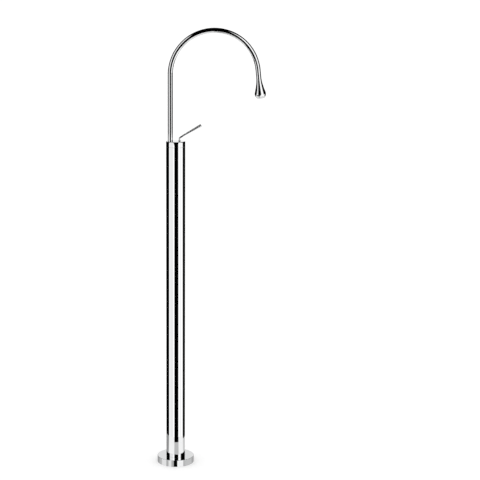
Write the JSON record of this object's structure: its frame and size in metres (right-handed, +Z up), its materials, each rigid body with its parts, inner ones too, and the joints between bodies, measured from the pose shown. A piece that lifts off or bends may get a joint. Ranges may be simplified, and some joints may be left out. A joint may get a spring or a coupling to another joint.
{
  "type": "floor-standing basin mixer",
  "caption": "Slim floor-standing basin mixer: round column on a floor flange, thin swivelling swan-neck spout with a drop-shaped outlet, and a thin joystick lever on the cap.",
  "frame": {"origin": "on the floor, in the middle of the floor plate, on the column's axis", "axes": "+Z up the column; +X towards the spout's outlet and the lever's tip"},
  "size_m": [0.2823, 0.098, 1.1665],
  "materials": {
    "chrome": "polished chrome plate",
    "stainless": "turned stainless",
    "brass": "machined brass",
    "copper": "drawn copper tube",
    "rubber": "black sealing rubber",
    "ceramic": "lapped ceramic",
    "plastic": "moulded plastic"
  },
  "bodies": {
    "column": {"cover_flange": "chrome", "column_tube": "chrome", "top_cap": "chrome", "floor_plate": "stainless", "column_screws": "stainless", "body_screws": "stainless", "spout_stop_screw": "stainless", "mixer_body": "brass", "column_top_plate": "brass", "passage_plug": "brass", "cartridge_nut": "brass", "hot_pipe": "copper", "cold_pipe": "copper", "floor_seal": "rubber", "cover_seal_ring": "rubber", "lower_pipe_seals": "rubber", "upper_pipe_seals": "rubber", "port_seals": "rubber", "cap_seal_ring": "rubber", "lever_seal_ring": "rubber", "fixed_disc": "ceramic", "hot_strainer": "plastic", "cold_strainer": "plastic", "hot_check_valve": "plastic", "cold_check_valve": "plastic", "pipe_spacer_lower": "plastic", "pipe_spacer_upper": "plastic", "cartridge_base": "plastic", "cartridge_housing": "plastic", "spout_guide_ring": "plastic"},
    "spout": {"spout_tube": "chrome", "spout_sleeve": "brass", "spout_seal_rings": "rubber", "spout_glide_ring": "plastic", "outlet_nipple": "brass", "drop_outlet": "chrome", "aerator_seal": "rubber", "aerator_insert": "plastic", "aerator_screen": "stainless"},
    "rotor": {"cartridge_rotor": "chrome", "lever_pin": "stainless"},
    "lever": {"lever_hub": "chrome", "lever_rod": "chrome"},
    "disc": {"moving_disc": "ceramic", "disc_carrier": "plastic"}
  },
  "joints": [
    {"name": "spout_swivel", "type": "hinge", "parent": "column", "child": "spout", "pos_m": [-0.014, 0, 0.86], "axis": [0, 0, 1], "range_deg": [-60, 60]},
    {"name": "temperature_turn", "type": "hinge", "parent": "column", "child": "rotor", "pos_m": [0.0098, 0, 0.86], "axis": [0, 0, 1], "range_deg": [-45, 45]},
    {"name": "lever_lift", "type": "hinge", "parent": "rotor", "child": "lever", "pos_m": [0.0098, 0, 0.8725], "axis": [0, -1, 0], "range_deg": [0, 20]},
    {"name": "disc_slide", "type": "slide", "parent": "rotor", "child": "disc", "axis": [1, 0, 0], "range_m": [0, 0.00385]}
  ],
  "couplings": [
    {"joint": "disc_slide", "follows": "lever_lift", "m_per_rad": 0.011}
  ]
}
